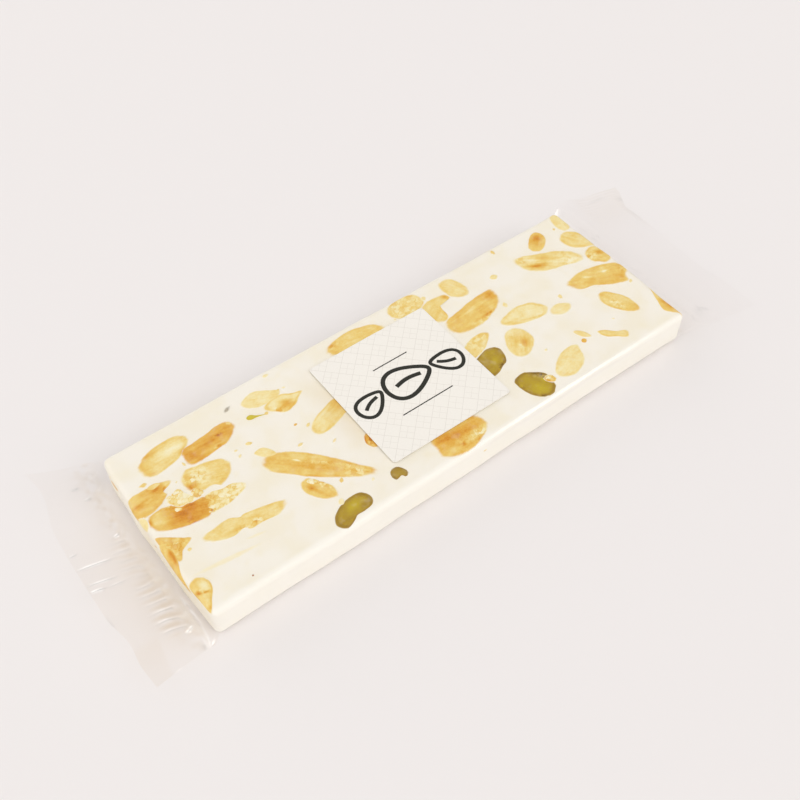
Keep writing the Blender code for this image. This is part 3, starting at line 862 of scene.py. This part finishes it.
def lay_out(rows):
    """Turns each nut's ends or middle, in cells, into its place, length and angle."""
    laid = []
    for row in rows:
        row = dict(row)
        if "ends" in row:
            start, stop = (GRID_CELL * end for end in row.pop("ends"))
            middle, span = (start + stop) / 2, stop - start
            row.update(length=np.hypot(*span), angle=np.degrees(np.arctan2(span[1], span[0])))
        else:
            middle = GRID_CELL * row.pop("at")
            row.setdefault("length", 12.0)
        laid.append(dict(row, x=middle[0], y=middle[1]))
    return laid


def crumb_rows(nuts, seed):
    """Crumbs broken off the nuts: a few close round each, more round the crumbly ones."""
    rng = np.random.default_rng(seed)
    rows = []
    for nut in nuts:
        for _ in range(int(rng.integers(0, 2 + len(nut.get("crumbs", ()))))):
            away = nut["length"] * rng.uniform(0.45, 0.75)
            around = rng.uniform(0, 2 * pi)
            size = rng.uniform(0.6, 1.8)
            rows.append(dict(x=nut["x"] + away * np.cos(around), y=nut["y"] + away * np.sin(around),
                             length=size, width=size * rng.uniform(0.5, 0.95),
                             angle=rng.uniform(0, 180), tone=rng.uniform(0.12, 0.4), lumps=0.1,
                             rim=0.06, veil=0.22, fade=0.25, rise=0.08, under=nut.get("under", False)))
    return rows


def hidden_rows(seed, count, low, high, sizes, under=False, taken=()):
    """Nuts scattered over a part of the bar that the label side doesn't show.

    They keep clear of each other and of the rows already taken.
    """
    rng = np.random.default_rng(seed)
    rows = []
    while len(rows) < count:
        length = rng.uniform(*sizes)
        x, y = rng.uniform(low[0], high[0]), rng.uniform(low[1], high[1])
        near = [row for row in [*taken, *rows] if row.get("under", False) == under]
        if any(np.hypot(x - row["x"], y - row["y"]) < (length + row["length"]) * 0.4 for row in near):
            sizes = (sizes[0], max(sizes[1] * 0.99, sizes[0]))
            continue
        rows.append(dict(x=x, y=y, length=length, width=length * rng.uniform(0.4, 0.6),
                         angle=rng.uniform(-60, 60), tone=rng.uniform(0.22, 0.6),
                         tips=(rng.uniform(-0.2, 0.1), rng.uniform(0.0, 0.4)), lumps=0.04,
                         bend=rng.uniform(-0.2, 0.2), rim=rng.uniform(-0.05, 0.18),
                         spots=[(rng.uniform(-0.5, 0.5), rng.uniform(-0.4, 0.4), 0.4, 0.4,
                                 rng.uniform(-0.1, 0.35))],
                         crumbs=[(rng.uniform(-0.8, 0.8), rng.uniform(-0.8, 0.8), 0.35, 0.5,
                                  rng.uniform(0.0, 0.9))],
                         veil=rng.uniform(0.06, 0.2), under=under))
    return rows


def make_nuts(name, rows, material, slot, first_seed):
    joined = Joined()
    for number, row in enumerate(rows):
        add_nut(joined, first_seed + number, **row)
    values = {key: np.concatenate(parts) for key, parts in joined.values.items()}
    return make_piece(name, np.concatenate(joined.points), joined.faces, material, slot, **values)


# ---- The film ----

FILM_COLUMNS = 600             # round the pack
FILM_ROUNDING = np.linspace(-1.0, 1.0, 9)
LOOSE_FRONT = 1.5              # how far the film stands off the front at the bar's far half
LABEL_PAINTED_SHADE = 8.0              # reach of the warm shade painted into the film beside the label


def film_section(closing, flare):
    """Points round a cross-section of the film, from the open box (0) to the fin (1).

    The side walls fold outward into ears as top and underside meet.
    """
    height = (FILM_TOP - FILM_BOTTOM) * (1 - closing) + FIN_THICKNESS * closing
    folded = np.sqrt(closing * (2.0 - closing))
    half = (BAR_WIDTH + FILM_SLACK) / 2
    ear = (FIN_WIDTH / 2 - half) * (folded + EAR_FLARE * (flare - folded))
    middle = (FILM_TOP + FILM_BOTTOM) / 2
    y = np.array([-half - ear, -half, half, half + ear, half, -half])
    z = middle + np.array([0.0, 0.5, 0.5, 0.0, -0.5, -0.5]) * height
    closed_y, closed_z = np.append(y, y[0]), np.append(z, z[0])
    along = np.append(0.0, np.cumsum(np.hypot(np.diff(closed_y), np.diff(closed_z))))
    at = along[-1] * np.arange(FILM_COLUMNS) / FILM_COLUMNS
    near = at[:, None] + FILM_EDGE * FILM_ROUNDING
    return (np.interp(near, along, closed_y, period=along[-1]).mean(1),
            np.interp(near, along, closed_z, period=along[-1]).mean(1))


def short_reach(across):
    """Length of the -X fin: bowed, with two dips."""
    return (SHORT_FIN - 1.5 * across ** 2
            - 1.8 * hill(0.76, 0.3, across) - 1.0 * hill(-0.56, 0.25, across))


def short_lift(across, out):
    """Height of the -X fin over its middle: its +Y corner curls up."""
    return (5.6 * smooth_step(0.15, 1.0, across) + 0.5 * np.sin(5.5 * across + 0.8)) * out ** 1.5


def long_reach(across):
    """Length of the +X fin: square-cut, with its +Y corner pulled out."""
    return LONG_FIN - 3.6 * (1.0 - smooth_step(0.6, 0.95, across))


def long_lift(across, out):
    """Height of the +X fin over its middle: it droops to near the table."""
    droop = -2.9 + 1.3 * smooth_step(0.2, 1.0, across) + 0.5 * np.sin(6.0 * across)
    return droop * out ** 1.2 + 2.2 * smooth_step(0.5, 1.0, across) * hill(0.3, 0.3, out)


# Crease lines of the two fins: where they start and stop in cells of the bar's grid carried
# on over the fins, their height in millimetres and the half width of their ridge.
SHORT_LINES = [
    ((-37.5, 2), (-34, 1), 0.34, 0.4),
    ((-37.5, -0.5), (-34.5, -1.5), 0.26, 0.35),
    ((-37.5, -1.5), (-36, -2), 0.42, 0.4),
    ((-36, -2), (-34, -2.5), 0.16, 0.35),
    ((-37.5, 4), (-36.5, 4), 0.2, 0.35),
    ((-37.5, -5), (-37.5, -9), 0.3, 0.5),
    ((-35, -16), (-34, -16), 0.3, 0.5),
    ((-31, -8), (-31, -12.5), 0.5, 0.25),
    ((-31, -12), (-31.5, -17), 0.3, 0.25),
    ((-31.5, -13.5), (-32, -16.5), -0.16, 0.4),
    ((-32.5, -12.5), (-31.5, -12), 0.45, 0.4),
    ((-34, 12), (-33, 12), 0.2, 0.4),
    ((-33.5, 10), (-32.5, 10), 0.2, 0.4),
    ((-33, 3.5), (-32, 3.5), 0.3, 0.4),
]
LONG_LINES = [
    ((31, 13.5), (33, 16.5), 0.15, 0.5),
    ((40.5, 14), (41, 12), 0.1, 0.7),
    ((40.5, 13), (40, 5), 0.06, 0.9),
    ((31.5, 6.5), (32.5, 5.5), 0.35, 0.4),
    ((31, 8.5), (32, 7.5), 0.3, 0.4),
    ((33.5, -11.5), (33.5, -13.5), 0.08, 0.5),
    ((33.5, -11.5), (35, -13.5), 0.08, 0.5),
    ((36, 14), (39.5, 14.5), 0.04, 0.5),
]


def crease_lines(lines, x, y):
    """Height of straight creases at points of the film."""
    height = np.zeros_like(y)
    for start, stop, rise, half_width in lines:
        start, stop = GRID_CELL * start, GRID_CELL * stop
        span = stop - start
        part = ((x - start[0]) * span[0] + (y - start[1]) * span[1]) / (span @ span)
        held = np.clip(part, 0.0, 1.0)
        away = np.hypot(x - start[0] - held * span[0], y - start[1] - held * span[1])
        height += rise * np.exp(-(away / half_width) ** 2) * hill(0.5, 0.6, part)
    return height


def short_creases(y, length, top):
    """Relief of the -X fin in millimetres, its fold value (doubled film and painted shade), and how sharply
    it is creased.
    """
    along = 2 * pi * (y - 0.24 * length) / 2.8 + 1.1 * wander(y, length, 4.0, 21)
    strength = 0.35 + 0.65 * smooth_step(-6.0, -13.0, y)
    strength *= (1 - smooth_step(6.0, 18.0, y)) * smooth_step(-25.0, -21.0, y)
    strength *= np.clip(0.85 + 0.5 * wander(y, length, 3.0, 24), 0.0, 1.2)
    band = hill(6.8, 5.2, length)
    puckers = 0.26 * strength * band * np.sin(along)
    # Painted shade near the bar's end: a warm band laid into the film's tint for shade and the nougat's
    # reflection.
    painted_shade_near_bar = smooth_step(0.5, 4.0, length) * (1 - smooth_step(4.5, 9.5, length))
    knots = wander(y, length, 1.3, 22)
    waves = 0.22 * wander(y, length * 0.4, 5.5, 23) * smooth_step(5.0, 10.0, length)
    height = puckers + 0.22 * knots * hill(3.0, 3.5, length) * top + waves
    lines = crease_lines(SHORT_LINES, -HALF_LENGTH - length, y) * smooth_step(0.3, 1.5, length)
    crease = np.abs(lines) / 0.3 + 0.6 * strength * band * np.maximum(np.sin(along), 0)
    crease += 0.5 * np.maximum(knots, 0) * hill(3.0, 3.0, length)
    # Fold value: a faint tint growing towards -Y, the painted warm band near the bar's end, painted shade on
    # one flank of each pucker, and the doubled film of the turned corner.
    fold = 0.08 + 0.12 * smooth_step(20.0, -5.0, y) + painted_shade_near_bar * (0.2 + 0.4 * knots)
    fold += 0.9 * strength * band * np.maximum(-np.sin(along), 0)
    turned = smooth_step(-20.0, -23.0, y) * smooth_step(13.0, 14.0, length + 0.15 * (y + 34))
    fold = fold * (1 - 0.5 * smooth_step(-24.0, -30.0, y)) + 0.2 * turned
    return height + lines, np.clip(fold, 0.0, 1.0), np.clip(crease, 0.0, 1.0)


def long_creases(y, length, top):
    """Relief of the +X fin in millimetres, its fold value (doubled film, seal ribs and painted shade), and
    how sharply it is creased.
    """
    ribbed = smooth_step(12.0, 24.0, y) * smooth_step(10.0, 14.0, length)
    ribs = 0.05 * ribbed * np.sin(2 * pi * (y + 0.1 * length) / 1.25)
    waves = 0.2 * wander(y, length * 0.3, 6.0, 31) * smooth_step(3.0, 12.0, length)
    knots = wander(y, length, 1.8, 32)
    height = ribs + waves + 0.2 * knots * hill(3.0, 4.0, length) * top
    lines = crease_lines(LONG_LINES, HALF_LENGTH + length, y) * smooth_step(0.3, 1.5, length)
    crease = np.abs(lines) / 0.3 + 0.3 * np.maximum(knots, 0) * hill(2.0, 3.0, length)
    # Painted shade: a faint warm band laid into the film's tint next to the bar's end.
    painted_shade_near_bar = 1 - smooth_step(0.5, 6.0, length)
    corner = smooth_step(23.0, 26.0, length) * smooth_step(8.0, 14.0, y)
    fold = 0.05 * painted_shade_near_bar + 0.1 * corner + 0.1 * ribbed * (1 + np.sin(2 * pi * y / 1.25))
    return height + lines, np.clip(fold, 0.0, 1.0), np.clip(crease, 0.0, 1.0)


def film_fin(side, gusset, reach, lift, creases, taper, step):
    """Rings of the film from the bar's end to the fin's outer edge, step apart."""
    full = reach(0.0)
    in_seal = np.linspace(gusset, full, int((full - gusset) / step))
    lengths = np.append(np.arange(step, gusset, step), in_seal)
    rings, folds, bends = [], [], []
    for station in lengths:
        gusset_part = min(station / gusset, 1.0)
        seal_part = max(station - gusset, 0.0) / (full - gusset)
        closing = smooth_step(0.0, 1.0, gusset_part ** 0.8)
        y, z = film_section(closing, station / full)
        across = y / (FIN_WIDTH / 2)
        length = gusset * gusset_part + (reach(across) - gusset) * seal_part
        out = length / reach(across)
        narrowed = 1.0 - taper * out ** 2 * smooth_step(0.2, 1.0, across)
        top = np.where(z > (FILM_TOP + FILM_BOTTOM) / 2, 1.0, -1.0) * (1 - closing) + closing
        x = side * (HALF_LENGTH + length)
        height, fold, crease = creases(y, length, top)
        z = z + lift(across, out) + height
        rings.append(settle(np.stack([x, y * narrowed, np.maximum(z, 0.04)], axis=-1)))
        folds.append(fold)
        bends.append(crease)
    return rings, folds, bends


def film_body():
    """Rings of the film along the bar, slightly slack, with their bends and their fold value, which here is
    only a painted warm shade beside the label.
    """
    y, z = film_section(0.0, 0.0)
    front = (y < -20) * 1.0
    top_edge = hill(-HALF_WIDTH, 2.0, y) * (z > 8.0)
    rings, folds, bends = [], [], []
    for x in np.arange(-HALF_LENGTH, HALF_LENGTH + 0.1, 1.25):
        slack = 0.05 * wander(y + 2 * z, x, 3.0, 41) + 0.04 * wander(y, x * 0.3, 7.0, 42)
        slack *= smooth_step(0.0, 1.5, np.maximum(np.abs(x), np.abs(y)) - LABEL_SIDE / 2)
        ring = settle(np.stack([np.full_like(y, x), y, z], axis=-1))
        ring[:, 2] += slack * (z > 5.0)
        loose = front * smooth_step(-5.0, 30.0, x) * (1 - smooth_step(66.0, 74.0, x))
        waver = 1 + 0.5 * wander(x, z, 16.0, 43)
        ring[:, 1] -= LOOSE_FRONT * loose * waver * hill(2.6, 3.4, z)
        rings.append(ring)
        lit = 0.3 * smooth_step(-5.0, 20.0, x) * (1 - smooth_step(35.0, 72.0, x))
        bends.append(lit * top_edge + 0.5 * loose * hill(2.6, 1.0, z))
        # Painted shade: a warm shade laid into the film's tint beside the label's -X edge.
        painted_shade_beside_label = 1 - smooth_step(0.0, LABEL_PAINTED_SHADE, -LABEL_SIDE / 2 - x)
        folds.append(0.9 * painted_shade_beside_label * (x < -LABEL_SIDE / 2) * (z > 5.0) * hill(1.0, 22.0, y))
    return rings, folds, bends


def make_film(material):
    """One closed bag of film: body, gussets and fins."""
    near, near_folds, near_bends = film_fin(-1, SHORT_GUSSET, short_reach, short_lift,
                                            short_creases, 0.0, 0.35)
    far, far_folds, far_bends = film_fin(1, LONG_GUSSET, long_reach, long_lift,
                                         long_creases, LONG_TAPER, 0.5)
    body, body_folds, body_bends = film_body()
    rings = near[::-1] + body + far
    # Fold values of the film: its doubling and its painted shade.
    folds = near_folds[::-1] + body_folds + far_folds
    bends = near_bends[::-1] + body_bends + far_bends
    faces = []
    for ring in range(len(rings) - 1):
        here, beyond = ring * FILM_COLUMNS, (ring + 1) * FILM_COLUMNS
        for i in range(FILM_COLUMNS):
            after = (i + 1) % FILM_COLUMNS
            faces.append([here + i, beyond + i, beyond + after, here + after])
    half = FILM_COLUMNS // 2
    for start, flipped in ((0, False), ((len(rings) - 1) * FILM_COLUMNS, True)):
        for i in range(half):
            across = [i, i + 1, -(i + 1) % FILM_COLUMNS, -i % FILM_COLUMNS]
            face = [start + c for c in dict.fromkeys(across)]
            faces.append(face[::-1] if flipped else face)
    film = make_piece("film", np.concatenate(rings), faces, material, "film",
                      fold=np.concatenate(folds), crease=np.concatenate(bends))
    film.data.set_sharp_from_angle(angle=radians(60))
    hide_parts("wrapped_bar")
    return film


# ---- The label ----

LABEL_GRID = 60


def label_height(x, y):
    """Height of the label's underside: stuck down, with its -X corners a little up."""
    half = LABEL_SIDE / 2
    corner = smooth_step(0.3, 1.0, -x / half) * (0.55 + 0.45 * smooth_step(-1, 1, -y / half))
    resting = settle(np.stack([x, y, np.full_like(x, LABEL_REST)], axis=-1))[:, 2]
    return resting + 0.05 * corner


def make_label(material):
    """A square sheet of paper with rounded corners, following the film."""
    half = LABEL_SIDE / 2
    lines = np.linspace(-half, half, LABEL_GRID + 1)
    x, y = (a.ravel() for a in np.meshgrid(lines, lines, indexing="ij"))
    inner = half - LABEL_CORNER
    past_x, past_y = np.maximum(np.abs(x) - inner, 0), np.maximum(np.abs(y) - inner, 0)
    away = np.hypot(past_x, past_y)
    pull = np.where(away > LABEL_CORNER, LABEL_CORNER / np.maximum(away, 1e-9), 1.0)
    x = np.sign(x) * (np.minimum(np.abs(x), inner) + past_x * pull)
    y = np.sign(y) * (np.minimum(np.abs(y), inner) + past_y * pull)
    low = label_height(x, y)
    points = np.concatenate([np.stack([x, y, low], -1), np.stack([x, y, low + LABEL_THICKNESS], -1)])
    row, layer = LABEL_GRID + 1, (LABEL_GRID + 1) ** 2
    faces = []
    for i in range(LABEL_GRID):
        for j in range(LABEL_GRID):
            face = [i * row + j, (i + 1) * row + j, (i + 1) * row + j + 1, i * row + j + 1]
            faces += [face[::-1], [c + layer for c in face]]
    rim = ([i * row for i in range(LABEL_GRID)] + [LABEL_GRID * row + j for j in range(LABEL_GRID)]
           + [i * row + LABEL_GRID for i in range(LABEL_GRID, 0, -1)]
           + [j for j in range(LABEL_GRID, 0, -1)])
    for here, after in zip(rim, rim[1:] + rim[:1]):
        faces.append([here, after, after + layer, here + layer])
    sheet = make_piece("label_sheet", points, faces, material, "label_paper")
    sheet.data.set_sharp_from_angle(angle=radians(40))
    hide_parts("label")
    return sheet


INK_THICKNESS = 0.03
INK_STEPS = 48


def add_stroke(joined, x, y, width, closed=False):
    """Adds a printed line along a path on the label, given as points in millimetres."""
    x, y, width = np.broadcast_arrays(np.asarray(x, float), y, width)
    if closed:
        run_x, run_y = np.roll(x, -1) - np.roll(x, 1), np.roll(y, -1) - np.roll(y, 1)
    else:
        run_x, run_y = np.gradient(x), np.gradient(y)
    run = np.hypot(run_x, run_y)
    side_x, side_y = -run_y / run * width / 2, run_x / run * width / 2
    points = []
    for side, over in ((1, 0), (-1, 0), (-1, 1), (1, 1)):
        px, py = x + side * side_x, y + side * side_y
        paper = label_height(px, py) + LABEL_THICKNESS
        points.append(np.stack([px, py, paper + (INK_THICKNESS if over else -INK_THICKNESS)], -1))
    count, faces = len(x), []
    for i in range(count if closed else count - 1):
        after = (i + 1) % count
        for edge in range(4):
            start, stop = edge * count, (edge + 1) % 4 * count
            faces.append([start + i, start + after, stop + after, stop + i])
    if not closed:
        faces += [[0, count, 2 * count, 3 * count],
                  [4 * count - 1, 3 * count - 1, 2 * count - 1, count - 1]]
    joined.add(np.concatenate(points), faces)


def add_almond_mark(joined, x, y, length, width, angle, line):
    """Adds a plain almond drawn in outline, with one line down its middle."""
    turn = np.arange(INK_STEPS) * 2 * pi / INK_STEPS
    u = length / 2 * np.cos(turn)
    v = width / 2 * np.sin(turn) * (1 - 0.45 * np.cos(turn))
    middle = np.linspace(-0.28, 0.3, 9) * length
    bow = 0.06 * width * np.cos(middle / length * 6)
    turned = radians(angle)
    for path_u, path_v, closed in ((u, v, True), (middle, bow, False)):
        path_x = x + path_u * np.cos(turned) - path_v * np.sin(turned)
        path_y = y + path_u * np.sin(turned) + path_v * np.cos(turned)
        add_stroke(joined, path_x, path_y, line, closed)


def make_print(material):
    """A made-up mark in the lettering's place: three almonds between thin rules."""
    joined = Joined()
    add_almond_mark(joined, 0.0, 0.3, 13.5, 9.0, 0.0, 1.2)
    add_almond_mark(joined, -12.3, -0.4, 9.0, 6.0, 24.0, 1.0)
    add_almond_mark(joined, 12.3, -0.4, 9.0, 6.0, 156.0, 1.0)
    for height, half in ((8.2, 5.5), (-8.2, 8.0)):
        add_stroke(joined, np.linspace(-half, half, 13), np.full(13, height), 0.3)
    print_piece = make_piece("label_print", np.concatenate(joined.points), joined.faces,
                             material, "label_ink")
    print_piece.data.shade_flat()


# ---- Stage, light and camera ----

SOFTBOX = (0.45, -0.64, 0.62)   # direction of the large soft light, at the front right
SOFTBOX_LIGHT = 1.68
BACK_WINDOW = (-0.1, 0.94, 0.32)
BACK_LIGHT = 0.82
DARK_CEILING = (0.1, 0.54, 0.84)
CEILING_SHARE = 0.7            # what is left of the light where the ceiling is dark
HORIZON_LIGHT = 0.7
ZENITH_LIGHT = 0.84
LEFT_FILL = 0.45
LIGHT_COLOUR = (1.0, 0.985, 0.975, 1.0)

FLOOR_REACH = 3.0              # metres each way from the bar
CAMERA_PLACE = (-0.11017, -0.13494, 0.21568)
CAMERA_TURN = (38.71, 0.0, -37.09)
CAMERA_LENS = 46.27
SENSOR_WIDTH = 36.0


def make_floor():
    nodes = new_look("floor")
    surface = nodes.add("BsdfPrincipled", {"Base Color": srgb(239, 235, 234), "Roughness": 0.8,
                                           "Specular IOR Level": 0.2})
    material = nodes.finish(surface)
    mesh = bpy.data.meshes.new("floor")
    corners = [(x * FLOOR_REACH, y * FLOOR_REACH, 0) for x, y in ((-1, -1), (1, -1), (1, 1), (-1, 1))]
    mesh.from_pydata(corners, [], [(0, 1, 2, 3)])
    mesh.materials.append(material)
    floor = bpy.data.objects.new("floor", mesh)
    bpy.context.collection.objects.link(floor)


def make_world():
    """A pale studio: even walls, one large softbox, and a dark ceiling at the back."""
    nodes = Nodes(bpy.data.worlds.new("studio"))
    direction = nodes.add("TexCoord").outputs["Generated"]

    def towards(target):
        dot = nodes.add("VectorMath", {0: direction}, operation="DOT_PRODUCT")
        dot.inputs[1].default_value = Vector(target).normalized()
        return dot.outputs["Value"]

    walls = nodes.span(towards((0, 0, 1)), 0.0, 1.0, HORIZON_LIGHT, ZENITH_LIGHT)
    walls = nodes.maths("MULTIPLY_ADD", towards((-1, 0, 0)), LEFT_FILL, walls)
    ceiling = nodes.span(towards(DARK_CEILING), 0.75, 0.95, 1.0, CEILING_SHARE)
    softbox = nodes.span(towards(SOFTBOX), 0.84, 0.95, 0.0, SOFTBOX_LIGHT)
    window = nodes.span(towards(BACK_WINDOW), 0.78, 0.96, 0.0, BACK_LIGHT)
    light = nodes.maths("MULTIPLY_ADD", walls, ceiling, nodes.maths("ADD", softbox, window))
    background = nodes.add("Background", {"Color": LIGHT_COLOUR, "Strength": light})
    bpy.context.scene.world = nodes.finish(background, "OutputWorld")


def make_camera():
    data = bpy.data.cameras.new("camera")
    data.sensor_width = SENSOR_WIDTH
    data.lens = CAMERA_LENS
    camera = bpy.data.objects.new("camera", data)
    bpy.context.collection.objects.link(camera)
    camera.location = CAMERA_PLACE
    camera.rotation_euler = [radians(turn) for turn in CAMERA_TURN]
    bpy.context.scene.camera = camera


ALMOND_TONES = [(0.0, srgb(249, 240, 203)), (0.2, srgb(244, 226, 163)),
                (0.4, srgb(237, 205, 116)), (0.6, srgb(229, 178, 74)),
                (0.78, srgb(217, 145, 38)), (0.9, srgb(196, 114, 26)),
                (1.0, srgb(146, 80, 26))]
PISTACHIO_TONES = [(0.0, srgb(208, 190, 40)), (0.3, srgb(190, 164, 42)),
                   (0.55, srgb(172, 140, 42)), (0.8, srgb(140, 108, 34)),
                   (1.0, srgb(92, 72, 30))]

make_slab(nougat_material())
almond_look = nut_material("almond", ALMOND_TONES, 0.3, 0.7)
pistachio_look = nut_material("pistachio", PISTACHIO_TONES, 0.15, 0.8)
almonds = lay_out(ALMONDS)
almonds += hidden_rows(81, 30, (-70, -21), (70, 21), (8.0, 19.0), under=True)
almonds += hidden_rows(82, 6, (-62, HALF_WIDTH + 2), (66, HALF_WIDTH + 6), (5.0, 9.0))
almonds += hidden_rows(83, 3, (HALF_LENGTH + 3, -20), (HALF_LENGTH + 6, 20), (5.0, 9.0))
make_nuts("almonds", almonds, almond_look, "almond", 100)
pistachios = lay_out(PISTACHIOS)
pistachios += hidden_rows(84, 4, (-60, -20), (60, 20), (7.0, 10.0), under=True, taken=almonds)
make_nuts("pistachios", pistachios, pistachio_look, "pistachio", 200)
make_nuts("nut_crumbs", crumb_rows(almonds, 60) + lay_out(SPECKS), almond_look, "almond", 300)
make_film(film_material())
make_label(paper_material())
make_print(ink_material())
make_floor()
make_world()
make_camera()
bpy.context.scene.view_settings.view_transform = "Standard"
